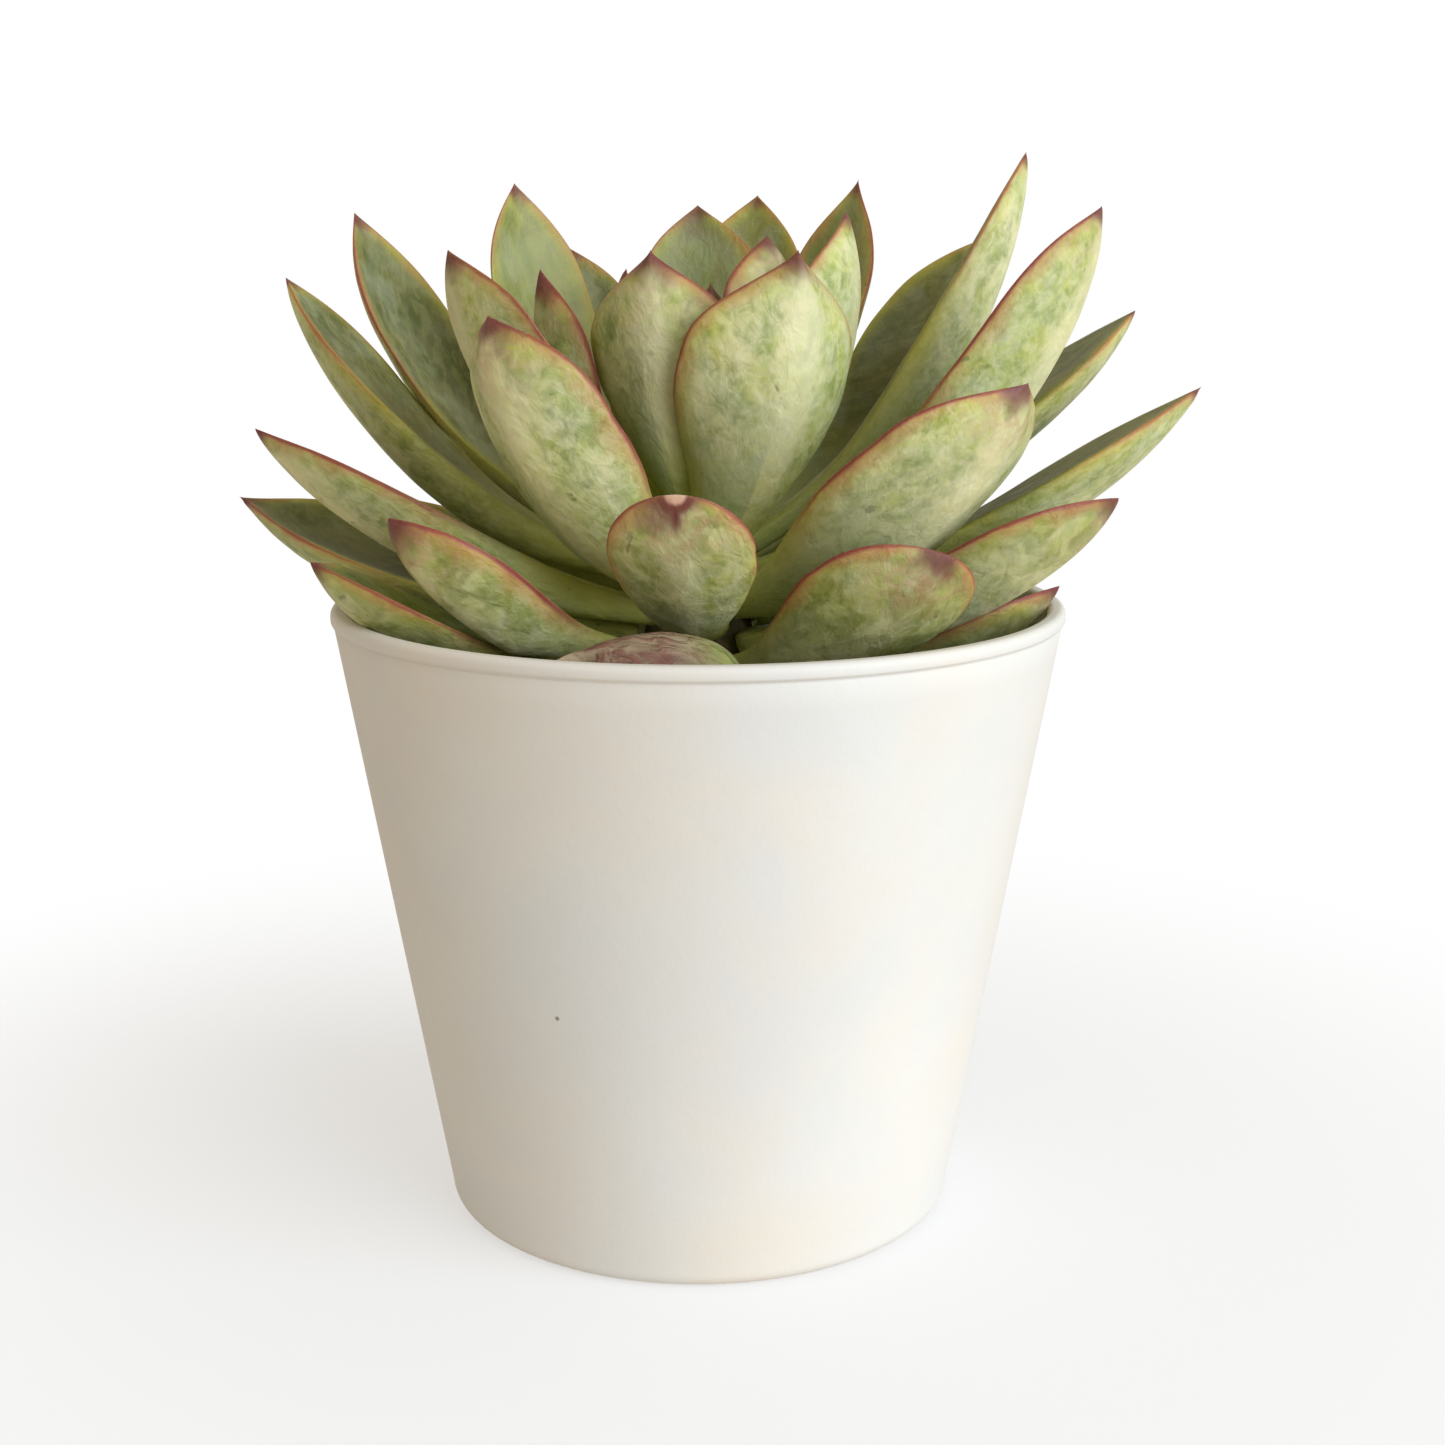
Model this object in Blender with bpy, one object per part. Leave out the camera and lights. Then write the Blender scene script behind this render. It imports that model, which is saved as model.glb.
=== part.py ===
"""A rosette succulent (echeveria) growing in a small tapered pot.

The pot, the potting mix, the stem and every leaf are separate objects. Leaf bases follow the
137.5 degree spiral of the growing plant, oldest and lowest first. Each row of the leaf table
says where that leaf's tip has grown to and how broad and how bent the leaf is.
"""

import math

import bmesh
import bpy
from mathutils import Vector

MM = 0.001

# Pot
POT_HEIGHT = 93.7
RIM_RADIUS = 55.0  # outside of the rounded lip
BASE_RADIUS = 38.95  # outside of the cone at the table
LIP_HEIGHT = 2.3
LIP_STEP = 0.05  # how far the lip stands outside the line of the wall
WALL = 2.7
FLOOR = 4.2
FOOT_ROUND = 2.4
POT_SEGMENTS = 60

# Potting mix and stem, with heights measured from the pot's rim
GAP = 0.3  # clear space between neighbouring solids
SOIL_AT_WALL = -15.2
SOIL_AT_STEM = -14.2
ROOT_DEPTH = -48.0
ROOT_RADIUS = 2.2
COLLAR_RADIUS = 6.0  # the stem where it goes into the soil
SOIL_SEGMENTS = 40
STEM_SEGMENTS = 20
STEM_LOW_RADIUS = 9.0
STEM_TOP_RADIUS = 4.0
CROWN_LOW = -11.0  # height of the oldest leaf's base
CROWN_TOP = 18.0  # height of the youngest leaf's base

# Leaves
FIRST_AZIMUTH = 120.0
SPIRAL_STEP = -137.5
LEAF_RINGS = 12
LEAF_SIDES = 10
BASE_GAP = 0.9  # from the stem to the middle of a leaf's base
UPPER_SHARE = 0.22  # how much of the thickness lies above the margins
HANDLE = 0.36  # length of the spine's curve handles as a share of the leaf

# Outline of a leaf: where it is widest, how it closes to its point, how wide it is at the stem
# as a share of its full width, and where along the leaf it starts to widen
OUTLINES = {
    "pointed": {"shoulder": 0.66, "fall": 2.7, "tip": 1.5, "neck": 0.32, "widens": 0.06},
    "rounded": {"shoulder": 0.69, "fall": 2.7, "tip": 1.15, "neck": 0.32, "widens": 0.06},
    "blunt": {"shoulder": 0.71, "fall": 2.7, "tip": 0.85, "neck": 0.32, "widens": 0.06},
    "cusped": {"shoulder": 0.62, "fall": 4.4, "tip": 1.25, "neck": 0.32, "widens": 0.06},
    "round_end": {"shoulder": 0.74, "fall": 2.6, "tip": 0.50, "neck": 0.40, "widens": 0.20},
    "spoon": {"shoulder": 0.72, "fall": 2.6, "tip": 0.90, "neck": 0.42, "widens": 0.30},
    "egg": {"shoulder": 0.72, "fall": 2.6, "tip": 0.50, "neck": 0.46, "widens": 0.12},
}

# azimuth of the tip, reach from the axis, rise above the rim, width, thickness,
# bow of the spine, extra hook at the tip, roll about the spine, depth of the channel, outline
LEAVES = [
    (110, 66, 14, 19, 5, 8, 0, 0, 0.3, "pointed"),
    (352, 54, 3, 19, 6.5, 22, 0, -10, 0.2, "rounded"),
    (207, 60, 9.5, 21, 6.5, 20, 0, -6, 0.25, "rounded"),
    (76, 66, 14, 19, 5, 8, 0, 0, 0.3, "pointed"),
    (308.6, 51, 12.5, 23.5, 7.5, 22, 0, -24, 0.05, "round_end"),
    (144, 66, 12, 19, 5, 8, 0, 0, 0.3, "pointed"),
    (29, 66, 12, 19, 5, 7, 0, 0, 0.3, "pointed"),
    (220, 54, 16.5, 16, 8, 23, 0, 10, 0.2, "spoon"),
    (98, 64, 36, 22, 5, 22, 0, 0, 0.3, "pointed"),
    (336, 63.5, 18, 24, 7, 16, 0, -12, 0.2, "blunt"),
    (176, 70, 15, 26, 6, 12, 0, -8, 0.3, "pointed"),
    (44, 66, 24, 19, 5, 15, 0, 0, 0.3, "pointed"),
    (266.5, 48, 21, 20, 6, 15, 15, 0, 0, "egg"),
    (126, 64, 31, 20, 5, 22, 0, 0, 0.3, "pointed"),
    (3, 76, 31.5, 27, 7, 14, 0, -6, 0.15, "pointed"),
    (190, 64.5, 26.5, 22, 7, 12, 0, 8, 0.15, "rounded"),
    (66, 65, 34, 19, 5, 22, 0, 0, 0.3, "pointed"),
    (322, 55.5, 34.2, 30, 7.5, 22, 0, -10, 0.2, "cusped"),
    (153, 49, 19, 18, 5, 14, 0, 0, 0.3, "pointed"),
    (12, 69, 42.5, 25, 7.5, 10, 0, -5, 0.1, "rounded"),
    (230, 43, 43, 23.5, 7, 28, 0, 0, 0.3, "cusped"),
    (114.5, 54, 52.5, 20, 5, 22, 0, 0, 0.3, "cusped"),
    (348, 58, 57.5, 25, 7.5, 30, 0, -16, 0.2, "cusped"),
    (171, 63, 47.5, 22, 5.8, 28, 0, -1, 0.25, "rounded"),
    (36, 58, 53.5, 19, 5, 22, 0, 15, 0.3, "spoon"),
    (299, 28, 51.5, 27.5, 7, 22, 0, 0, 0.35, "pointed"),
    (150.6, 63, 57.5, 20.5, 5.1, 40, 0, 0, 0.28, "rounded"),
    (24, 56, 66.5, 18, 8, 22, 0, -30, 0.1, "rounded"),
    (204, 38, 51.5, 26, 5, 26, 0, 0, 0.3, "cusped"),
    (77, 44, 60.5, 20, 5, 22, 0, 0, 0.3, "rounded"),
    (344, 22, 57, 27, 5, 22, 0, 0, 0.3, "pointed"),
    (204, 24.5, 49, 17, 4, 22, 0, 0, 0.3, "pointed"),
    (46, 36.5, 62.5, 17, 5, 22, 0, 0, 0.3, "pointed"),
    (252, 21, 51.5, 22, 5, 22, 0, 0, 0.3, "pointed"),
    (134, 42, 62, 19, 5, 50, 0, 0, 0.3, "rounded"),
    (335, 11, 53.5, 22, 4, 22, 0, 0, 0.3, "rounded"),
    (200, 11, 49, 14, 3.5, 22, 0, 0, 0.3, "pointed"),
    (90, 24, 58.5, 19, 4, 22, 0, 0, 0.3, "rounded"),
    (285, 7, 47, 10, 3, 22, 0, 0, 0.3, "pointed"),
    (150, 5, 45, 9, 2.5, 22, 0, 0, 0.3, "pointed"),
    (20, 3, 42, 7, 2, 22, 0, 0, 0.3, "pointed"),
]

# The withered lowest leaf lies along the front of the rim: its spine, width and thickness
WITHERED_SPINE = [(-1.0, -10.8, -12.2), (8.0, -33.0, -13.2), (5.5, -48.3, 4.3), (-19.0, -47.0, -0.8)]
WITHERED_WIDTH = 10.0
WITHERED_THICKNESS = 3.2

LEAF_GREEN = (0.36, 0.43, 0.20, 1.0)
WITHERED_BROWN = (0.27, 0.17, 0.11, 1.0)
POT_WHITE = (0.78, 0.76, 0.71, 1.0)
SOIL_BLACK = (0.025, 0.019, 0.014, 1.0)
STEM_BROWN = (0.20, 0.17, 0.08, 1.0)


def clear_scene():
    for item in list(bpy.data.objects):
        bpy.data.objects.remove(item, do_unlink=True)


def make_material(name, colour, roughness):
    material = bpy.data.materials.new(name)
    material.use_nodes = True
    shader = material.node_tree.nodes["Principled BSDF"]
    shader.inputs["Base Color"].default_value = colour
    shader.inputs["Roughness"].default_value = roughness
    shader.inputs["Metallic"].default_value = 0.0
    material.diffuse_color = colour
    return material


def ease(value):
    """Smooth step from 0 to 1."""
    value = min(max(value, 0.0), 1.0)
    return value * value * (3.0 - 2.0 * value)


def add_object(name, mesh, material):
    mesh.materials.append(material)
    item = bpy.data.objects.new(name, mesh)
    bpy.context.scene.collection.objects.link(item)
    mesh.shade_smooth()
    mesh.set_sharp_from_angle(angle=math.radians(40.0))
    return item


def turned(name, profile, segments, material):
    """A closed solid of revolution from (radius, height) pairs in mm, starting and ending on the axis."""
    body = bmesh.new()
    points = [body.verts.new((radius * MM, 0.0, height * MM)) for radius, height in profile]
    edges = [body.edges.new(pair) for pair in zip(points, points[1:])]
    bmesh.ops.spin(
        body, geom=points + edges, cent=(0.0, 0.0, 0.0), axis=(0.0, 0.0, 1.0),
        angle=math.tau, steps=segments, use_duplicate=False, use_merge=True,
    )
    bmesh.ops.remove_doubles(body, verts=body.verts, dist=0.00001)
    bmesh.ops.recalc_face_normals(body, faces=body.faces)
    mesh = bpy.data.meshes.new(name)
    body.to_mesh(mesh)
    body.free()
    return add_object(name, mesh, material)


def arc(centre, radius, start, end, steps):
    """Points of a circular arc in the (radius, height) plane, angles in degrees."""
    angles = [math.radians(start + (end - start) * step / steps) for step in range(steps + 1)]
    return [(centre[0] + radius * math.cos(a), centre[1] + radius * math.sin(a)) for a in angles]


def wall_radius(height):
    """Outside radius of the pot's cone at a height above the table."""
    top = RIM_RADIUS - LIP_STEP
    return BASE_RADIUS + (top - BASE_RADIUS) * height / POT_HEIGHT


def make_pot(material):
    lip_round = 1.0
    lip_low = POT_HEIGHT - LIP_HEIGHT
    foot = arc((wall_radius(FOOT_ROUND) - FOOT_ROUND, FOOT_ROUND), FOOT_ROUND, -90, 0, 4)
    lip_outer = arc((RIM_RADIUS - lip_round, POT_HEIGHT - lip_round), lip_round, 0, 90, 4)
    inner_top = RIM_RADIUS - WALL
    lip_inner = arc((inner_top + lip_round, POT_HEIGHT - lip_round), lip_round, 90, 180, 4)
    inner_low = wall_radius(FLOOR + 3.0) - WALL
    heel = arc((inner_low - 3.0, FLOOR + 3.0), 3.0, 0, -90, 3)
    profile = [(0.0, 0.0)] + foot
    profile += [(wall_radius(lip_low), lip_low), (RIM_RADIUS, lip_low + 0.4)]
    profile += lip_outer + lip_inner + heel + [(0.0, FLOOR)]
    return turned("pot", profile, POT_SEGMENTS, material)


def pot_inside(height):
    """Inside radius of the pot between its heel and its lip."""
    low = FLOOR + 3.0
    low_radius = wall_radius(low) - WALL
    share = (height - low) / (POT_HEIGHT - 1.0 - low)
    return low_radius + (RIM_RADIUS - WALL - low_radius) * share


def crown_radius(age):
    """Radius of the stem where a leaf of this age sits: 0 is the oldest, 1 the youngest."""
    return STEM_LOW_RADIUS + (STEM_TOP_RADIUS - STEM_LOW_RADIUS) * ease(age)


def crown_height(age):
    """Height above the rim of the base of a leaf of this age."""
    return CROWN_LOW + (CROWN_TOP - CROWN_LOW) * age


def stem_profile():
    """Radius and height of the stem from the root's point up to the growing tip."""
    rim = POT_HEIGHT
    return [
        (0.0, rim + ROOT_DEPTH),
        (ROOT_RADIUS, rim + ROOT_DEPTH + 1.0),
        (ROOT_RADIUS + 1.2, rim + ROOT_DEPTH + 14.0),
        (COLLAR_RADIUS, rim + SOIL_AT_STEM - 3.0),
        (COLLAR_RADIUS, rim + SOIL_AT_STEM + 1.0),
        (STEM_LOW_RADIUS, rim + CROWN_LOW - 1.5),
    ] + [
        (crown_radius(age), rim + crown_height(age)) for age in (0.0, 0.25, 0.5, 0.75, 1.0)
    ] + [
        (STEM_TOP_RADIUS - 1.8, rim + CROWN_TOP + 1.8),
        (0.0, rim + CROWN_TOP + 2.6),
    ]


def make_soil(material):
    rim = POT_HEIGHT
    bottom = FLOOR + GAP
    heel = FLOOR + 3.0
    edge = rim + SOIL_AT_WALL
    hole = [(radius + GAP, height) for radius, height in reversed(stem_profile()[1:5])]
    hole[0] = (hole[0][0], rim + SOIL_AT_STEM)
    profile = [
        (0.0, bottom),
        (pot_inside(heel) - 3.0, bottom),
        (pot_inside(heel) - GAP, heel),
        (pot_inside(edge - 1.0) - GAP, edge - 1.0),
        (pot_inside(edge) - 1.5, edge),
        (34.0, edge + 0.6),
        (16.0, rim + SOIL_AT_STEM - 0.1),
    ]
    profile += hole
    profile += [(0.0, rim + ROOT_DEPTH - GAP)]
    return turned("potting_mix", profile, SOIL_SEGMENTS, material)


def make_stem(material):
    return turned("stem", stem_profile(), STEM_SEGMENTS, material)


def outline_width(along, outline):
    """Half-width of a leaf as a share of its widest, from the stem (0) to the point (1)."""
    shoulder = outline["shoulder"]
    widens = outline["widens"]
    neck = outline["neck"]
    spread = neck + (1.0 - neck) * ease((along - widens) / (shoulder - widens))
    beyond = max(0.0, (along - shoulder) / (1.0 - shoulder))
    return spread * (1.0 - beyond ** outline["fall"]) ** outline["tip"]


def section(angle, half_width, thickness, cup):
    """Across and up for one corner of a leaf's section: channelled above, keeled below."""
    across = math.cos(angle)
    up = math.sin(angle)
    channel = cup * half_width * (abs(across) ** 1.7 - 0.35)
    if up >= 0.0:
        body = UPPER_SHARE * up
    else:
        body = -(1.0 - UPPER_SHARE) * abs(up) ** 1.15
    return half_width * across, channel + thickness * body


def bezier(points, share):
    """Point and unit direction of a cubic curve."""
    a, b, c, d = points
    rest = 1.0 - share
    place = a * rest ** 3 + b * 3 * rest ** 2 * share + c * 3 * rest * share ** 2 + d * share ** 3
    way = (b - a) * rest ** 2 + (c - b) * 2 * rest * share + (d - c) * share ** 2
    return place, way.normalized()


def leaf_object(name, spine, first_side, last_side, width, thickness, roll, cup, outline, material):
    """A closed leaf lofted along a curve: rings of LEAF_SIDES corners, a flat base and a point."""
    body = bmesh.new()
    rings = []
    for ring in range(LEAF_RINGS):
        along = 1.0 - (1.0 - ring / LEAF_RINGS) ** 1.25
        place, way = bezier(spine, along)
        side = first_side.lerp(last_side, along)
        side = (side - way * side.dot(way)).normalized()
        normal = way.cross(side)
        turn = math.radians(roll) * ease(along / 0.5)
        across = side * math.cos(turn) + normal * math.sin(turn)
        above = normal * math.cos(turn) - side * math.sin(turn)
        half_width = 0.5 * width * outline_width(along, outline)
        full = thickness * (0.6 + 0.4 * ease(along / 0.4)) * (1.0 - along ** 5) ** 0.8
        full = min(full, 1.3 * half_width)
        corners = []
        for corner in range(LEAF_SIDES):
            angle = math.tau * corner / LEAF_SIDES
            out, up = section(angle, half_width, full, cup * ease(along / 0.3))
            corners.append(body.verts.new((place + across * out + above * up) * MM))
        rings.append(corners)
    for low, high in zip(rings, rings[1:]):
        for corner in range(LEAF_SIDES):
            after = (corner + 1) % LEAF_SIDES
            body.faces.new((low[corner], low[after], high[after], high[corner]))
    body.faces.new(rings[0])
    point = body.verts.new(spine[3] * MM)
    for corner in range(LEAF_SIDES):
        after = (corner + 1) % LEAF_SIDES
        body.faces.new((rings[-1][corner], rings[-1][after], point))
    bmesh.ops.triangulate(body, faces=body.faces)
    bmesh.ops.recalc_face_normals(body, faces=body.faces)
    mesh = bpy.data.meshes.new(name)
    body.to_mesh(mesh)
    body.free()
    return add_object(name, mesh, material)


def flat(azimuth):
    """Unit vector in the ground plane at an azimuth in degrees."""
    angle = math.radians(azimuth)
    return Vector((math.cos(angle), math.sin(angle), 0.0))


def leaf_spine(index, azimuth, reach, rise, bow, hook):
    """Curve of a leaf from the stem to its tip, with its side directions at both ends."""
    age = index / (len(LEAVES) - 1)
    base_way = flat(FIRST_AZIMUTH + SPIRAL_STEP * index)
    tip_way = flat(azimuth)
    base = base_way * (crown_radius(age) + BASE_GAP)
    base += Vector((0.0, 0.0, POT_HEIGHT + crown_height(age)))
    tip = tip_way * reach + Vector((0.0, 0.0, POT_HEIGHT + rise))
    chord = tip - base
    level = Vector((chord.x, chord.y, 0.0))
    slope = math.atan2(chord.z, level.length)
    outward = level.normalized() if level.length > 3.0 else tip_way
    start_slope = slope - math.radians(bow)
    end_slope = slope + math.radians(0.6 * bow + hook)
    start_way = (base_way + outward).normalized()
    start = start_way * math.cos(start_slope) + Vector((0.0, 0.0, math.sin(start_slope)))
    end = outward * math.cos(end_slope) + Vector((0.0, 0.0, math.sin(end_slope)))
    handle = HANDLE * chord.length
    spine = [base, base + start * handle, tip - end * handle, tip]
    first_side = Vector((-base_way.y, base_way.x, 0.0))
    last_side = Vector((-outward.y, outward.x, 0.0))
    return spine, first_side, last_side


def make_leaves(material):
    for index, row in enumerate(LEAVES):
        azimuth, reach, rise, width, thickness, bow, hook, roll, cup, outline = row
        spine, first_side, last_side = leaf_spine(index, azimuth, reach, rise, bow, hook)
        leaf_object(
            "leaf_%02d" % (index + 1), spine, first_side, last_side,
            width, thickness, roll, cup, OUTLINES[outline], material,
        )


def make_withered_leaf(material):
    lift = Vector((0.0, 0.0, POT_HEIGHT))
    spine = [Vector(point) + lift for point in WITHERED_SPINE]
    leaf_object(
        "withered_leaf", spine, Vector((1.0, 0.3, 0.0)), Vector((0.0, 0.8, 0.6)),
        WITHERED_WIDTH, WITHERED_THICKNESS, 0.0, 0.3, OUTLINES["rounded"], material,
    )


def main():
    clear_scene()
    make_pot(make_material("pot", POT_WHITE, 0.65))
    make_soil(make_material("potting_mix", SOIL_BLACK, 0.95))
    make_stem(make_material("stem", STEM_BROWN, 0.7))
    make_leaves(make_material("leaf", LEAF_GREEN, 0.45))
    make_withered_leaf(make_material("withered_leaf", WITHERED_BROWN, 0.7))


main()
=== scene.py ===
"""A potted echeveria: the looks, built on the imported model.

Every leaf is grown by one Geometry Nodes tree along the same curve as its solid. The pot, the
stem and the bed of potting mix are turned, and crumbs and bits of perlite are scattered over the
bed. The leaf material paints by where a point lies on its leaf: along it, across it, above or
below, and how far from the margin and from the tip.
"""

import math

import bmesh
import bpy
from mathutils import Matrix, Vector, noise


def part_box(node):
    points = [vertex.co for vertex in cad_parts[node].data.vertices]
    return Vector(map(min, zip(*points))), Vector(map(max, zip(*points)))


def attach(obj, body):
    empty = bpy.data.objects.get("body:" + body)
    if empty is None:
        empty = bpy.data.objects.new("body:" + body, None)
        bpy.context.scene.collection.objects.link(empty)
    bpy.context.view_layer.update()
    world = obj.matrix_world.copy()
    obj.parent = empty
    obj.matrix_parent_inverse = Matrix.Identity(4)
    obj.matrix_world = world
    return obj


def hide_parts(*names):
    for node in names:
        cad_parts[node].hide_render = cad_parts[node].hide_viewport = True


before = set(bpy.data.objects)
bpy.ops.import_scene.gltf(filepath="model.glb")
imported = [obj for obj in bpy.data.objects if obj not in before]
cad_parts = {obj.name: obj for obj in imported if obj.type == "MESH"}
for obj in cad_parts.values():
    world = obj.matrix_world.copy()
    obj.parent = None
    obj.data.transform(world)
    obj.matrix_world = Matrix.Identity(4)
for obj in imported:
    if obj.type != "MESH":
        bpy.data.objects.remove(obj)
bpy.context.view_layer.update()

MM = 0.001
BODY = "root"

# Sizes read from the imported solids
POT_LOW, POT_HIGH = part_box("pot")
POT_HEIGHT = POT_HIGH[2]
RIM_RADIUS = 0.5 * (POT_HIGH[0] - POT_LOW[0])

# Pot, with the lip only just outside the line of the wall
BASE_RADIUS = 38.95 * MM
LIP_HEIGHT = 2.3 * MM
LIP_STEP = 0.05 * MM
LIP_ROUND = 1.0 * MM
WALL = 2.7 * MM
FLOOR = 4.2 * MM     # thickness of the pot's own floor
HEEL_ROUND = 3.0 * MM
FOOT_ROUND = 2.4 * MM
POT_SEGMENTS = 180

# Potting mix, with heights measured from the rim
SOIL_AT_WALL = -15.2 * MM
SOIL_AT_STEM = -14.2 * MM
SOIL_GAP = 0.3 * MM
SOIL_SEGMENTS = 96
CRUMB_COUNT = 2600
CRUMB_SIZE = 1.7 * MM
PERLITE_COUNT = 46
PERLITE_SIZE = 1.5 * MM
SCATTER_INNER = 9.5 * MM
SCATTER_OUTER = 47.5 * MM

# Stem, with heights measured from the rim
STEM_LOW_RADIUS = 9.0 * MM
STEM_TOP_RADIUS = 4.0 * MM
CROWN_LOW = -11.0 * MM
CROWN_TOP = 18.0 * MM
STEM_RINGS = 16
STEM_SEGMENTS = 64
STEM_WOBBLE = 0.002
BARK_SCALE = 220.0

# Leaves: each starts one step further round the stem than the last, a small gap away from it
FIRST_AZIMUTH = 120.0
SPIRAL_STEP = -137.5
BASE_GAP = 0.9 * MM
HANDLE = 0.36        # length of the curve's handles, as a share of the straight way to the tip
BOW_AT_TIP = 0.6     # how far the bow turns a leaf back up at its tip
LEAST_LEVEL = 3.0 * MM
RINGS = 60
SIDES = 44
SEED_STEP = 0.37
FIRST_SEED = 0.11

# share of the length where a leaf is widest, how late it closes, how sharply it closes,
# width of its neck, share of the length where it starts to widen
OUTLINES = {
    "pointed": (0.66, 2.7, 1.5, 0.32, 0.06),
    "rounded": (0.69, 2.7, 1.15, 0.32, 0.06),
    "blunt": (0.71, 2.7, 0.85, 0.32, 0.06),
    "cusped": (0.62, 4.4, 1.25, 0.32, 0.06),
    "round_end": (0.74, 2.6, 0.50, 0.40, 0.20),
    "spoon": (0.72, 2.6, 0.90, 0.42, 0.30),
    "egg": (0.72, 2.6, 0.50, 0.46, 0.12),
}

# azimuth of the tip, reach from the axis, rise above the rim, width, thickness (mm),
# bow of the spine, extra hook at the tip, roll about the spine, depth of the channel, outline,
# how red the margin is
LEAVES = [
    (110, 66, 14, 19, 5, 8, 0, 0, 0.3, "pointed", 0.5),
    (352, 54, 3, 19, 6.5, 22, 0, -10, 0.2, "rounded", 0.8),
    (207, 60, 9.5, 21, 6.5, 20, 0, -6, 0.25, "rounded", 0.6),
    (76, 66, 14, 19, 5, 8, 0, 0, 0.3, "pointed", 0.5),
    (308.6, 51, 12.5, 23.5, 7.5, 22, 0, -24, 0.05, "round_end", 0.95),
    (144, 66, 12, 19, 5, 8, 0, 0, 0.3, "pointed", 0.5),
    (29, 66, 12, 19, 5, 7, 0, 0, 0.3, "pointed", 0.5),
    (220, 54, 16.5, 16, 8, 23, 0, 10, 0.2, "spoon", 1),
    (98, 64, 36, 22, 5, 22, 0, 0, 0.3, "pointed", 0.5),
    (336, 63.5, 18, 24, 7, 16, 0, -12, 0.2, "blunt", 0.8),
    (176, 70, 15, 26, 6, 12, 0, -8, 0.3, "pointed", 0.55),
    (44, 66, 24, 19, 5, 15, 0, 0, 0.3, "pointed", 0.5),
    (266.5, 48, 21, 20, 6, 15, 15, 0, 0, "egg", 0.9),
    (126, 64, 31, 20, 5, 22, 0, 0, 0.3, "pointed", 0.5),
    (3, 76, 31.5, 27, 7, 14, 0, -6, 0.15, "pointed", 0.35),
    (190, 64.5, 26.5, 22, 7, 12, 0, 8, 0.15, "rounded", 0.75),
    (66, 65, 34, 19, 5, 22, 0, 0, 0.3, "pointed", 0.5),
    (322, 55.5, 34.2, 30, 7.5, 22, 0, -10, 0.2, "cusped", 0.9),
    (153, 49, 19, 18, 5, 14, 0, 0, 0.3, "pointed", 0.5),
    (12, 69, 42.5, 25, 7.5, 10, 0, -5, 0.1, "rounded", 0.2),
    (230, 43, 43, 23.5, 7, 28, 0, 0, 0.3, "cusped", 0.9),
    (114.5, 54, 52.5, 20, 5, 22, 0, 0, 0.3, "cusped", 0.6),
    (348, 58, 57.5, 25, 7.5, 30, 0, -16, 0.2, "cusped", 0.8),
    (171, 63, 47.5, 22, 5.8, 28, 0, -1, 0.25, "rounded", 0.4),
    (36, 58, 53.5, 19, 5, 22, 0, 15, 0.3, "spoon", 0.15),
    (299, 28, 51.5, 27.5, 7, 22, 0, 0, 0.35, "pointed", 0.75),
    (150.6, 63, 57.5, 20.5, 5.1, 40, 0, 0, 0.28, "rounded", 0.6),
    (24, 56, 66.5, 18, 8, 22, 0, -30, 0.1, "rounded", 0.35),
    (204, 38, 51.5, 26, 5, 26, 0, 0, 0.3, "cusped", 0.8),
    (77, 44, 60.5, 20, 5, 22, 0, 0, 0.3, "rounded", 0.45),
    (344, 22, 57, 27, 5, 22, 0, 0, 0.3, "pointed", 0.5),
    (204, 24.5, 49, 17, 4, 22, 0, 0, 0.3, "pointed", 1),
    (46, 36.5, 62.5, 17, 5, 22, 0, 0, 0.3, "pointed", 0.7),
    (252, 21, 51.5, 22, 5, 22, 0, 0, 0.3, "pointed", 0.8),
    (134, 42, 62, 19, 5, 50, 0, 0, 0.3, "rounded", 0.5),
    (335, 11, 53.5, 22, 4, 22, 0, 0, 0.3, "rounded", 0.9),
    (200, 11, 49, 14, 3.5, 22, 0, 0, 0.3, "pointed", 0.7),
    (90, 24, 58.5, 19, 4, 22, 0, 0, 0.3, "rounded", 0.7),
    (285, 7, 47, 10, 3, 22, 0, 0, 0.3, "pointed", 0.7),
    (150, 5, 45, 9, 2.5, 22, 0, 0, 0.3, "pointed", 0.7),
    (20, 3, 42, 7, 2, 22, 0, 0, 0.3, "pointed", 0.7),
]

SCARRED_LEAF = "leaf_13"

# The withered leaf: four points of its curve (mm, from the rim), its size, and its crinkles
WITHERED_SPINE = [(-1.0, -10.8, -12.2), (8.0, -33.0, -13.2), (5.5, -48.2, 3.2), (-19.0, -47.0, -0.8)]
WITHERED_WIDTH = 10.0 * MM
WITHERED_THICKNESS = 3.2 * MM
WITHERED_CHANNEL = 0.3
CRINKLE_DEPTH = 0.0016
CRINKLE_SIZE = 0.003
WITHERED_SEED = 21.7

# Camera
CAMERA_PLACE = (0.0, -0.3135, 0.1439)
CAMERA_PITCH = 12.5
CAMERA_YAW = 0.66
SENSOR = 36.0
FOCAL = 52.07

# Light: the key comes from this far to the right of the front and above the floor, in degrees
KEY_SIDE = 52.0
KEY_RISE = 20.0
KEY_SPREAD = 60.0
KEY_POWER = 2.9
KEY_TINT = (0.87, 1.0, 1.15)
ROOM_POWER = 0.57
ROOM_TINT = (1.0, 0.91, 0.77, 1.0)

# Stage: a floor that is half clear near the pot and wholly clear further out
STAGE_RADIUS = 1.2
STAGE_TONE = (0.90, 0.90, 0.90, 1.0)
STAGE_FADE = (0.05, 0.22)
STAGE_OPACITY = 0.5


def ease(value):
    """Rises smoothly from 0 to 1 as the value does."""
    value = min(max(value, 0.0), 1.0)
    return value * value * (3.0 - 2.0 * value)


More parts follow.
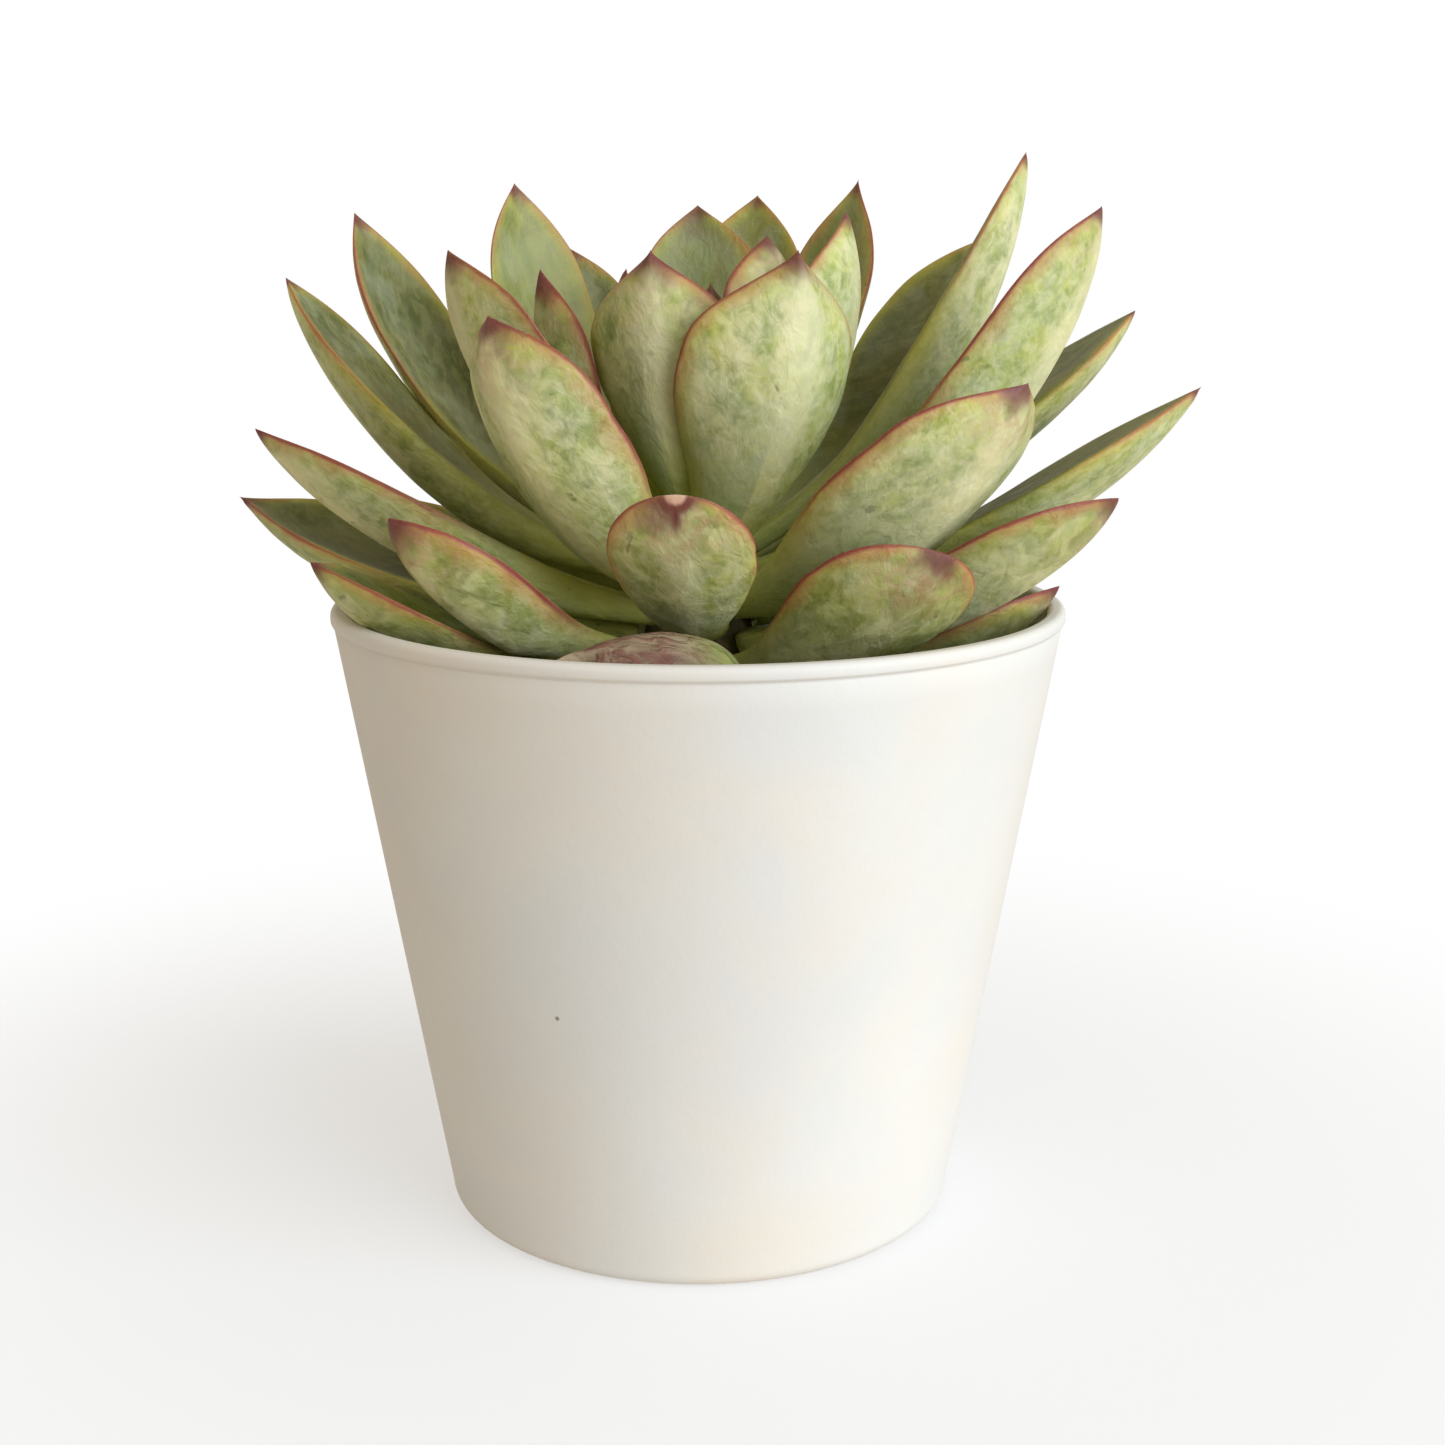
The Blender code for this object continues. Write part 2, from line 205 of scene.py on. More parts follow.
def colour(red, green, blue):
    """Screen colour from 0 to 255, as the linear values that a shader takes."""
    def linear(value):
        value /= 255.0
        return value / 12.92 if value <= 0.04045 else ((value + 0.055) / 1.055) ** 2.4
    return (linear(red), linear(green), linear(blue), 1.0)


class Wires:
    """Adds nodes to a tree and joins them; a value may be a socket or a plain number."""

    def __init__(self, tree):
        self.tree = tree

    def put(self, socket, value):
        """Joins a socket to the input, or sets it to a plain value."""
        if isinstance(value, bpy.types.NodeSocket):
            self.tree.links.new(value, socket)
        elif value is not None:
            socket.default_value = value

    def node(self, kind, inputs=(), **settings):
        made = self.tree.nodes.new(kind)
        for name, value in settings.items():
            setattr(made, name, value)
        for key, value in dict(inputs).items():
            self.put(made.inputs[key], value)
        return made

    def math(self, operation, *values, clamp=False):
        made = self.node("ShaderNodeMath", dict(enumerate(values)), operation=operation, use_clamp=clamp)
        return made.outputs[0]

    def times(self, first, second):
        return self.math("MULTIPLY", first, second)

    def vector(self, operation, *values):
        made = self.node("ShaderNodeVectorMath", dict(enumerate(values)), operation=operation)
        return made.outputs["Value" if operation in ("DOT_PRODUCT", "LENGTH", "DISTANCE") else "Vector"]

    def scale(self, vector, factor):
        made = self.node("ShaderNodeVectorMath", {0: vector, "Scale": factor}, operation="SCALE")
        return made.outputs[0]

    def mix(self, factor, first, second, kind="FLOAT"):
        a, b, out = {"FLOAT": (2, 3, 0), "VECTOR": (4, 5, 1), "RGBA": (6, 7, 2)}[kind]
        made = self.node("ShaderNodeMix", {0: factor, a: first, b: second}, data_type=kind)
        return made.outputs[out]

    def paint(self, factor, first, second):
        return self.mix(factor, first, second, "RGBA")

    def smooth(self, value, low, high, start=0.0, end=1.0):
        """Goes smoothly from start to end while the value goes from low to high."""
        made = self.node(
            "ShaderNodeMapRange", {0: value, 1: low, 2: high, 3: start, 4: end},
            interpolation_type="SMOOTHSTEP",
        )
        return made.outputs[0]

    def fade(self, value, low, high):
        return self.smooth(value, low, high, 1.0, 0.0)

    def noise(self, place, scale, detail=2.0, roughness=0.5, distortion=0.0):
        made = self.node("ShaderNodeTexNoise", {
            "Vector": place, "Scale": scale, "Detail": detail,
            "Roughness": roughness, "Distortion": distortion,
        })
        return made.outputs[0]

    def place(self, x, y, z):
        return self.node("ShaderNodeCombineXYZ", {0: x, 1: y, 2: z}).outputs[0]

    def change(self, geometry, kind, **values):
        """Passes a geometry through one node, and gives what comes out."""
        return self.node("GeometryNode" + kind, {"Geometry": geometry, **values}).outputs[0]


def take_inputs(tree, rows):
    """Makes a tree's inputs from (name, kind, default) rows and gives them by name."""
    for name, kind, default in rows:
        socket = tree.interface.new_socket(name=name, in_out="INPUT", socket_type="NodeSocket" + kind)
        if default is not None:
            socket.default_value = default
    return tree.nodes.new("NodeGroupInput").outputs


def give_outputs(tree, wires, rows):
    """Makes a tree's outputs from (name, kind, value) rows."""
    end = tree.nodes.new("NodeGroupOutput")
    for name, kind, value in rows:
        tree.interface.new_socket(name=name, in_out="OUTPUT", socket_type="NodeSocket" + kind)
        wires.put(end.inputs[name], value)


# -------------------- shader groups

def patches_group():
    """Soft-edged patches: a mask between 0 and 1 that varies over the surface."""
    tree = bpy.data.node_groups.new("patches", "ShaderNodeTree")
    wires = Wires(tree)
    take = take_inputs(tree, [
        ("Place", "Vector", None), ("Size", "Float", 0.01),
        ("Softness", "Float", 0.2), ("Amount", "Float", 0.5),
    ])
    scale = wires.math("DIVIDE", 1.0, take["Size"])
    cloud = wires.noise(take["Place"], scale, 3.0, 0.55, 0.6)
    # the noise keeps within about 0.28 to 0.72, so the middle of the soft edge does too
    middle = wires.math("SUBTRACT", 1.0, take["Amount"])
    middle = wires.math("MULTIPLY_ADD", middle, 0.44, 0.28)
    low = wires.math("SUBTRACT", middle, take["Softness"])
    high = wires.math("ADD", middle, take["Softness"])
    give_outputs(tree, wires, [("Mask", "Float", wires.smooth(cloud, low, high))])
    return tree


def grain_group():
    """Fine surface relief: a height from two sizes of grain."""
    tree = bpy.data.node_groups.new("grain", "ShaderNodeTree")
    wires = Wires(tree)
    take = take_inputs(tree, [("Place", "Vector", None), ("Size", "Float", 0.0005)])
    scale = wires.math("DIVIDE", 1.0, take["Size"])
    coarse = wires.noise(take["Place"], wires.times(scale, 0.35), 2.0, 0.5)
    fine = wires.noise(take["Place"], scale, 2.0, 0.6)
    height = wires.math("MULTIPLY_ADD", coarse, 0.6, wires.times(fine, 0.4))
    give_outputs(tree, wires, [("Height", "Float", height)])
    return tree


def specks_group():
    """Small scattered dots: a mask that is 1 inside a dot."""
    tree = bpy.data.node_groups.new("specks", "ShaderNodeTree")
    wires = Wires(tree)
    take = take_inputs(tree, [
        ("Place", "Vector", None), ("Spacing", "Float", 0.01),
        ("Radius", "Float", 0.0003), ("Share", "Float", 0.3),
    ])
    scale = wires.math("DIVIDE", 1.0, take["Spacing"])
    warp = wires.node("ShaderNodeTexNoise", {
        "Vector": take["Place"], "Scale": wires.times(scale, 6.0),
    })
    shifted = wires.vector("MULTIPLY_ADD", warp.outputs["Color"], (0.0006, 0.0006, 0.0006), take["Place"])
    cells = wires.node("ShaderNodeTexVoronoi", {"Vector": shifted, "Scale": scale}, feature="F1")
    reach = wires.times(take["Radius"], scale)
    dot = wires.fade(cells.outputs["Distance"], wires.times(reach, 0.6), reach)
    pick = wires.node("ShaderNodeSeparateColor", {0: cells.outputs["Color"]}).outputs[0]
    chosen = wires.math("LESS_THAN", pick, take["Share"])
    give_outputs(tree, wires, [("Mask", "Float", wires.times(dot, chosen))])
    return tree


def strokes_group():
    """Short soft dabs, as of a dry brush drawn one way: a mask that is 1 inside a dab."""
    tree = bpy.data.node_groups.new("strokes", "ShaderNodeTree")
    wires = Wires(tree)
    take = take_inputs(tree, [
        ("Place", "Vector", None), ("Size", "Float", 0.003),
        ("Turn", "Float", 0.0), ("Amount", "Float", 0.4),
    ])
    turned_place = wires.node("ShaderNodeVectorRotate", {
        "Vector": take["Place"], "Angle": take["Turn"],
    }, rotation_type="Z_AXIS").outputs[0]
    scale = wires.math("DIVIDE", 1.0, take["Size"])
    field = wires.noise(wires.vector("MULTIPLY", turned_place, (0.50, 1.0, 1.0)), scale, 2.0, 0.55, 0.6)
    # a larger amount lowers the edge, and so widens the dabs
    middle = wires.math("MULTIPLY_ADD", take["Amount"], -0.34, 0.66)
    dab = wires.smooth(field, wires.math("SUBTRACT", middle, 0.10), wires.math("ADD", middle, 0.12))
    give_outputs(tree, wires, [("Mask", "Float", dab)])
    return tree


PATCHES = patches_group()
STROKES = strokes_group()
GRAIN = grain_group()
SPECKS = specks_group()


def new_material(name):
    """An empty material, and the wires to fill it with."""
    material = bpy.data.materials.new(name)
    material.use_nodes = True
    material.node_tree.nodes.clear()
    return material, Wires(material.node_tree)


def finish_material(wires, values):
    """The shader itself, with its inputs by name, joined to the material's output."""
    shader = wires.node("ShaderNodeBsdfPrincipled", values)
    end = wires.node("ShaderNodeOutputMaterial")
    wires.put(end.inputs["Surface"], shader.outputs[0])


def group(wires, tree, inputs):
    """One of the shader groups above, with its inputs by name."""
    made = wires.tree.nodes.new("ShaderNodeGroup")
    made.node_tree = tree
    for key, value in inputs.items():
        wires.put(made.inputs[key], value)
    return made.outputs[0]


def attribute(wires, name, output="Fac"):
    """A number, or with output "Vector" a place, that the leaf tree stored at every point."""
    return wires.node("ShaderNodeAttribute", attribute_name=name).outputs[output]


def tinted(wires, mask, amount, skin, tint):
    """Paints a tint over the skin by a share of a mask."""
    return wires.paint(wires.times(mask, amount), skin, tint)


def bump(wires, height, strength, distance):
    return wires.node("ShaderNodeBump", {
        "Strength": strength, "Distance": distance, "Height": height,
    }).outputs[0]


# -------------------- materials

def leaf_material():
    """Cream and lime skin below, olive above with painted shade, painted shade and highlight at the keel,
    painted light in the neck, a red margin and point, and one healed scar.
    """
    material, wires = new_material("leaf skin")
    lay = attribute(wires, "lay", "Vector")
    along = attribute(wires, "along")
    across = attribute(wires, "across")
    edge = attribute(wires, "edge")
    face = attribute(wires, "face")
    tip = attribute(wires, "from_tip")
    blush = attribute(wires, "blush")
    scar = attribute(wires, "scar")
    age = attribute(wires, "age")
    below = wires.fade(face, -0.25, 0.15)
    long_way = wires.vector("MULTIPLY", lay, (0.6, 1.0, 1.0))

    # shared pattern: wide veils, clouds, and short soft strokes over them; sizes are in metres,
    # and places are moved so that two patterns of a kind don't match
    veil = group(wires, PATCHES, {"Place": long_way, "Size": 0.012, "Softness": 0.13, "Amount": 0.5})
    lime = group(wires, PATCHES, {
        "Place": wires.vector("ADD", long_way, (0.5, 0.1, 0.8)),
        "Size": 0.009, "Softness": 0.12, "Amount": 0.42,
    })
    cloud = group(wires, PATCHES, {"Place": lay, "Size": 0.0048, "Softness": 0.11, "Amount": 0.5})
    mottle = group(wires, PATCHES, {"Place": lay, "Size": 0.0019, "Softness": 0.12, "Amount": 0.5})
    stroke = group(wires, STROKES, {"Place": lay, "Size": 0.0016, "Turn": 0.45, "Amount": 0.42})
    crossing = group(wires, STROKES, {"Place": lay, "Size": 0.0021, "Turn": -0.6, "Amount": 0.40})
    dark = group(wires, STROKES, {
        "Place": wires.vector("ADD", lay, (0.7, 0.2, 0.4)),
        "Size": 0.0014, "Turn": -0.3, "Amount": 0.34,
    })

    # underside: cream and lime veiled with sage, the oldest leaves the ripest
    old = wires.fade(age, 0.10, 0.50)
    under = wires.paint(veil, colour(170, 182, 110), colour(224, 216, 162))
    ripe = wires.times(wires.math("MAXIMUM", lime, wires.times(old, 0.55)), 0.74)
    under = wires.paint(ripe, under, colour(174, 180, 58))
    under = tinted(wires, cloud, 0.56, under, colour(126, 143, 68))
    under = tinted(wires, mottle, 0.40, under, colour(236, 230, 184))
    under = tinted(wires, stroke, 0.26, under, colour(228, 224, 178))
    under = tinted(wires, crossing, 0.26, under, colour(196, 202, 116))
    dark = wires.times(dark, wires.math("MULTIPLY_ADD", cloud, 0.6, 0.10))
    under = tinted(wires, dark, 0.50, under, colour(108, 120, 58))

    # the masks of the painted shade on one flank of the keel and of the painted highlight along the keel,
    # and that highlight itself
    low_half = wires.fade(along, 0.30, 0.78)
    shaded_flank = wires.times(wires.fade(across, -0.15, -0.10), low_half)
    shaded_flank = wires.times(shaded_flank, wires.times(below, 0.46))
    # painted highlight: a paler stripe along the keel's ridge
    keel = wires.math("ABSOLUTE", wires.math("SUBTRACT", across, 0.02))
    keel = wires.times(wires.fade(keel, 0.12, 0.40), wires.smooth(along, 0.10, 0.40))
    under = tinted(wires, keel, 0.50, under, colour(236, 228, 180))

    # upper face: olive green, partly its own colour and partly painted shade, under a grey bloom, fresher
    # on the young leaves
    young = wires.smooth(age, 0.66, 0.80)
    upper = wires.paint(veil, colour(84, 92, 38), colour(114, 114, 52))
    fresh = wires.paint(veil, colour(116, 126, 52), colour(160, 160, 86))
    upper = wires.paint(young, upper, fresh)
    upper = tinted(wires, cloud, 0.42, upper, colour(128, 124, 84))
    upper = tinted(wires, stroke, 0.30, upper, colour(156, 152, 92))
    skin = wires.paint(below, upper, under)

    # the neck is a clearer, deeper lime, partly its own colour and partly painted light for light glowing
    # through the lower leaves
    neck = wires.fade(along, 0.10, 0.56)
    skin = tinted(wires, neck, 0.66, skin, colour(220, 224, 132))

    # the painted shade of the flank goes over the neck, since it reaches down to the stem
    skin = wires.paint(shaded_flank, skin, colour(132, 148, 112))

    # the outer half of the oldest leaves is deeper and yellower
    outer = wires.times(old, wires.smooth(along, 0.35, 0.75))
    outer = wires.times(outer, wires.math("MULTIPLY_ADD", cloud, 0.40, 0.22))
    skin = wires.paint(outer, skin, colour(122, 126, 32))

    # pale bloom, rubbed off in places
    bloom = group(wires, PATCHES, {
        "Place": wires.vector("ADD", lay, (0.3, 0.9, 0.1)),
        "Size": 0.008, "Softness": 0.14, "Amount": 0.42,
    })
    skin = tinted(wires, bloom, 0.20, skin, colour(190, 198, 172))

    # margin: a lime band, a red halo of uneven width and a thin dark line, gone before the neck
    wander = wires.noise(lay, 170.0, 2.0)
    start = wires.math("MULTIPLY_ADD", blush, -0.48, 0.72)
    reach = wires.smooth(along, start, wires.math("ADD", start, 0.34))
    strength = wires.times(reach, wires.math("MULTIPLY_ADD", blush, 0.40, 0.50))
    pale_edge = wires.fade(edge, 0.0004, 0.0036)
    pale_edge = wires.times(pale_edge, wires.math("MULTIPLY_ADD", veil, 0.4, 0.22))
    skin = wires.paint(pale_edge, skin, colour(186, 180, 70))
    halo_width = wires.math("MULTIPLY_ADD", wander, 0.0070, -0.0012)
    halo_width = wires.times(halo_width, wires.math("MULTIPLY_ADD", blush, 0.7, 0.5))
    halo = wires.math("SUBTRACT", 1.0, wires.math("DIVIDE", edge, halo_width), clamp=True)
    halo = wires.times(wires.math("POWER", halo, 1.2), strength)
    skin = tinted(wires, halo, 0.92, skin, colour(184, 104, 78))
    line_width = wires.math("MULTIPLY_ADD", blush, 0.0003, -0.0002)
    line_width = wires.math("MULTIPLY_ADD", wander, 0.0010, line_width)
    line = wires.fade(wires.math("DIVIDE", edge, line_width), 0.3, 1.5)
    red = wires.paint(wires.smooth(blush, 0.25, 0.75), colour(160, 84, 44), colour(128, 44, 50))
    skin = tinted(wires, line, strength, skin, red)

    # red mottling behind the points of the reddest leaves
    behind = wires.fade(tip, 0.003, 0.016)
    flush = wires.times(behind, wires.smooth(blush, 0.6, 1.0))
    flush = wires.times(flush, wires.math("MULTIPLY_ADD", mottle, 0.7, 0.15))
    skin = tinted(wires, flush, 0.55, skin, colour(164, 84, 62))

    # dark point
    stain = wires.math("MULTIPLY_ADD", wander, 0.0055, 0.0004)
    stain = wires.times(stain, wires.math("ADD", blush, 0.3))
    point = wires.fade(wires.math("DIVIDE", tip, stain), 0.40, 1.6)
    skin = tinted(wires, point, 0.88, skin, colour(104, 46, 50))

    # a healed scar at the end of one leaf: maroon streak, brown rim, tan middle
    middle = wires.fade(wires.math("ABSOLUTE", across), 0.0, 0.14)
    streak = wires.times(middle, wires.fade(tip, 0.0030, 0.0065))
    skin = tinted(wires, streak, scar, skin, colour(110, 54, 50))
    ring = wires.fade(tip, 0.0020, 0.0030)
    skin = tinted(wires, ring, scar, skin, colour(116, 62, 52))
    centre = wires.fade(tip, 0.0010, 0.0017)
    skin = tinted(wires, centre, scar, skin, colour(206, 164, 140))

    # a few bruises with broken edges
    bruise = wires.smooth(wires.noise(lay, 210.0, 4.0, 0.6, 0.8), 0.66, 0.74)
    skin = tinted(wires, bruise, 0.55, skin, colour(98, 104, 66))

    relief = group(wires, GRAIN, {"Place": lay, "Size": 0.0005})
    dents = wires.noise(long_way, 300.0, 3.0, 0.55, 0.8)
    height = wires.math("MULTIPLY_ADD", relief, 0.25, wires.math("MULTIPLY_ADD", stroke, 0.12, dents))
    finish_material(wires, {
        "Base Color": skin,
        "Roughness": wires.math("MULTIPLY_ADD", bloom, 0.20, 0.44),
        "Specular IOR Level": 0.35,
        "Subsurface Weight": 0.25,
        "Subsurface Radius": (0.9, 1.0, 0.3),
        "Subsurface Scale": 0.003,
        "Normal": bump(wires, height, 0.6, 0.0006),
    })
    return material


def withered_material():
    """Dry and papery with red-brown veins, still greenish near the stem, pale at the very end."""
    material, wires = new_material("withered leaf skin")
    lay = attribute(wires, "lay", "Vector")
    along = attribute(wires, "along")
    edge = attribute(wires, "edge")
    long_way = wires.vector("MULTIPLY", lay, (0.35, 1.0, 1.0))
    broad = group(wires, PATCHES, {"Place": long_way, "Size": 0.006, "Softness": 0.15, "Amount": 0.5})
    fine = group(wires, PATCHES, {"Place": long_way, "Size": 0.0016, "Softness": 0.12, "Amount": 0.5})
    vein = group(wires, STROKES, {"Place": lay, "Size": 0.0014, "Amount": 0.40})
    dry = wires.paint(broad, colour(128, 104, 80), colour(160, 142, 112))
    dry = tinted(wires, fine, 0.5, dry, colour(104, 76, 60))
    dry = tinted(wires, vein, 0.65, dry, colour(116, 58, 46))
    live = wires.paint(fine, colour(118, 128, 62), colour(158, 160, 92))
    skin = wires.paint(wires.smooth(along, 0.52, 0.74), live, dry)
    rim = wires.fade(edge, 0.0002, 0.0012)
    skin = tinted(wires, rim, 0.6, skin, colour(176, 152, 116))
    skin = wires.paint(wires.smooth(along, 0.93, 0.985), skin, colour(196, 176, 146))
    relief = group(wires, GRAIN, {"Place": lay, "Size": 0.0008})
    height = wires.math("MULTIPLY_ADD", vein, -0.6, relief)
    finish_material(wires, {
        "Base Color": skin,
        "Roughness": wires.math("MULTIPLY_ADD", fine, 0.15, 0.62),
        "Normal": bump(wires, height, 0.8, 0.0006),
    })
    return material


def pot_material():
    """Off-white, with faint warm and cool areas and a few dark specks."""
    material, wires = new_material("matt off-white pot")
    place = wires.node("ShaderNodeTexCoord").outputs["Object"]
    warm = group(wires, PATCHES, {"Place": place, "Size": 0.05, "Softness": 0.25, "Amount": 0.5})
    cool = group(wires, PATCHES, {
        "Place": wires.vector("ADD", place, (0.3, 0.1, 0.7)),
        "Size": 0.032, "Softness": 0.25, "Amount": 0.45,
    })
    skin = wires.paint(warm, colour(226, 223, 216), colour(229, 218, 203))
    skin = tinted(wires, cool, 0.6, skin, colour(216, 216, 215))
    relief = group(wires, GRAIN, {"Place": place, "Size": 0.0007})
    skin = tinted(wires, relief, 0.16, skin, colour(205, 199, 188))
    specks = group(wires, SPECKS, {"Place": place, "Spacing": 0.022, "Radius": 0.00045, "Share": 0.22})
    skin = tinted(wires, specks, 0.75, skin, colour(110, 100, 88))
    finish_material(wires, {
        "Base Color": skin,
        "Roughness": wires.math("MULTIPLY_ADD", relief, 0.14, 0.50),
        "Specular IOR Level": 0.4,
        "Normal": bump(wires, relief, 0.25, 0.0002),
    })
    return material


def grained_material(name, tones, grain, patch, rough, spread, strength, depth):
    """A dull, rough skin of two tones, in soft patches or, without a patch, following its grain.

    Its roughness is one plain number, or varies with the grain where a spread is given.
    """
    material, wires = new_material(name)
    place = wires.node("ShaderNodeTexCoord").outputs["Object"]
    relief = group(wires, GRAIN, {"Place": place, "Size": grain})
    mask = relief
    if patch:
        size, softness, amount = patch
        mask = group(wires, PATCHES, {"Place": place, "Size": size, "Softness": softness, "Amount": amount})
    if spread:
        rough = wires.math("MULTIPLY_ADD", relief, spread, rough)
    finish_material(wires, {
        "Base Color": wires.paint(mask, colour(*tones[0]), colour(*tones[1])),
        "Roughness": rough,
        "Normal": bump(wires, relief, strength, depth),
    })
    return material


def soil_material():
    return grained_material(
        "potting mix", ((38, 31, 26), (62, 48, 38)), grain=0.0008, patch=(0.004, 0.1, 0.45),
        rough=0.82, spread=0.15, strength=0.9, depth=0.0006,
    )


def perlite_material():
    return grained_material(
        "perlite", ((196, 190, 178), (226, 222, 212)), grain=0.0006, patch=None,
        rough=0.85, spread=None, strength=0.8, depth=0.0004,
    )


def stem_material():
    return grained_material(
        "stem bark", ((104, 98, 58), (128, 112, 76)), grain=0.001, patch=(0.004, 0.12, 0.5),
        rough=0.6, spread=0.2, strength=0.8, depth=0.0005,
    )


# -------------------- leaf tree

RING_CROWDING = 1.35     # over 1, the rings stand closer together towards the tip
OUTLINE_WOBBLE = 0.12    # how unevenly wide a leaf may be
BODY_AT_BASE = 0.6       # thickness at the stem, as a share of the whole
BODY_LIMIT = 1.3         # the most thickness that half a width may carry
SECTION_POWER = 0.88     # under 1, the section is fuller than an ellipse at its sides
CHANNEL_POWER = 1.7      # how narrow the bottom of the channel is
CHANNEL_SINK = 0.35      # how far the middle sinks when the margins rise
UPPER_SHARE = 0.22       # share of the thickness above the margins; the rest is below
WELD_DISTANCE = 0.004 * MM


def leaf_tree():
    """Grows one closed leaf along a cubic curve, channelled above and keeled below."""
    tree = bpy.data.node_groups.new("leaf", "GeometryNodeTree")
    wires = Wires(tree)
    take = take_inputs(tree, [
        ("Geometry", "Geometry", None),
        ("Base", "Vector", None), ("Base Handle", "Vector", None),
        ("Tip Handle", "Vector", None), ("Tip", "Vector", None),
        ("First Side", "Vector", None), ("Last Side", "Vector", None),
        ("Width", "Float", 0.02), ("Thickness", "Float", 0.005),
        ("Channel", "Float", 0.4), ("Roll", "Float", 0.0),
        ("Neck", "Float", 0.32), ("Widens", "Float", 0.06),
        ("Shoulder", "Float", 0.66), ("Fall", "Float", 2.7), ("Closing", "Float", 1.5),
        ("Keel", "Float", 0.45), ("Ripple", "Float", 0.0004), ("Ripple Size", "Float", 0.011),
        ("Blush", "Float", 0.5), ("Scar", "Float", 0.0), ("Age", "Float", 0.0), ("Seed", "Float", 0.0),
        ("Rings", "Int", RINGS), ("Sides", "Int", SIDES), ("Skin", "Material", None),
    ])
    rows = wires.math("ADD", take["Rings"], 2.0)
    grid = wires.node("GeometryNodeMeshGrid", {
        "Size X": 1.0, "Size Y": 1.0, "Vertices X": rows,
        "Vertices Y": wires.math("ADD", take["Sides"], 1.0),
    })
    sheet = wires.node("GeometryNodeInputPosition").outputs[0]
    flat_place = wires.node("ShaderNodeSeparateXYZ", {0: sheet})
    row = wires.math("ADD", flat_place.outputs[0], 0.5)
    row = wires.times(row, wires.math("SUBTRACT", rows, 1.0))
    opened = wires.math("GREATER_THAN", row, 0.5)
    share = wires.math("DIVIDE", wires.math("SUBTRACT", row, 1.0), take["Rings"], clamp=True)
    rest = wires.math("POWER", wires.math("SUBTRACT", 1.0, share), RING_CROWDING)
    along = wires.math("SUBTRACT", 1.0, rest)
    angle = wires.times(wires.math("ADD", flat_place.outputs[1], 0.5), math.tau)
    across = wires.math("COSINE", angle)
    up = wires.math("SINE", angle)

    # place and direction on the curve
    a = wires.mix(along, take["Base"], take["Base Handle"], "VECTOR")
    b = wires.mix(along, take["Base Handle"], take["Tip Handle"], "VECTOR")
    c = wires.mix(along, take["Tip Handle"], take["Tip"], "VECTOR")
    ab = wires.mix(along, a, b, "VECTOR")
    bc = wires.mix(along, b, c, "VECTOR")
    spine = wires.mix(along, ab, bc, "VECTOR")
    way = wires.vector("NORMALIZE", wires.vector("SUBTRACT", bc, ab))
    side = wires.mix(along, take["First Side"], take["Last Side"], "VECTOR")
    lean = wires.scale(way, wires.vector("DOT_PRODUCT", side, way))
    side = wires.vector("NORMALIZE", wires.vector("SUBTRACT", side, lean))
    turn = wires.times(take["Roll"], wires.smooth(along, 0.0, 0.5))
    side = wires.node("ShaderNodeVectorRotate", {
        "Vector": side, "Axis": way, "Angle": turn,
    }, rotation_type="AXIS_ANGLE").outputs[0]
    above = wires.vector("CROSS_PRODUCT", way, side)

    # outline
    grow = wires.smooth(along, take["Widens"], take["Shoulder"])
    spread = wires.mix(grow, take["Neck"], 1.0)
    beyond = wires.math("DIVIDE", wires.math("SUBTRACT", along, take["Shoulder"]),
                        wires.math("SUBTRACT", 1.0, take["Shoulder"]), clamp=True)
    closing = wires.math("SUBTRACT", 1.0, wires.math("POWER", beyond, take["Fall"]), clamp=True)
    outline = wires.times(spread, wires.math("POWER", closing, take["Closing"]))
    seeded = wires.place(wires.times(along, 5.0), wires.times(across, 0.4), take["Seed"])
    wobble = wires.noise(seeded, 1.0, 1.0)
    wobble = wires.math("MULTIPLY_ADD", wobble, OUTLINE_WOBBLE, 1.0 - 0.5 * OUTLINE_WOBBLE)
    half = wires.times(outline, wobble)
    half = wires.times(half, wires.times(take["Width"], 0.5))
    half = wires.times(half, opened)

    # thickness
    body = wires.mix(wires.smooth(along, 0.0, 0.4), BODY_AT_BASE, 1.0)
    taper = wires.math("SUBTRACT", 1.0, wires.math("POWER", along, 5.0), clamp=True)
    body = wires.times(body, wires.math("POWER", taper, 0.8))
    body = wires.times(body, take["Thickness"])
    body = wires.math("MINIMUM", body, wires.times(half, BODY_LIMIT))

    # section
    size = wires.math("ABSOLUTE", wires.math("COSINE", angle))
    size = wires.math("POWER", size, SECTION_POWER)
    across = wires.times(size, wires.math("SIGN", wires.math("COSINE", angle)))
    cup = wires.times(take["Channel"], wires.smooth(along, 0.0, 0.3))
    channel = wires.math("SUBTRACT", wires.math("POWER", size, CHANNEL_POWER), CHANNEL_SINK)
    channel = wires.times(wires.times(channel, cup), half)
    keel = wires.times(take["Keel"], wires.smooth(along, 0.25, 0.7))
    ridge = wires.math("SUBTRACT", 1.0, size)
    lower = wires.mix(keel, wires.math("ABSOLUTE", up), ridge)
    lower = wires.times(lower, UPPER_SHARE - 1.0)
    upper = wires.times(up, UPPER_SHARE)
    shape = wires.mix(wires.math("GREATER_THAN", up, 0.0), lower, upper)
    height = wires.math("MULTIPLY_ADD", shape, body, channel)
    out = wires.scale(side, wires.times(half, across))
    place = wires.vector("ADD", wires.vector("ADD", spine, out), wires.scale(above, height))

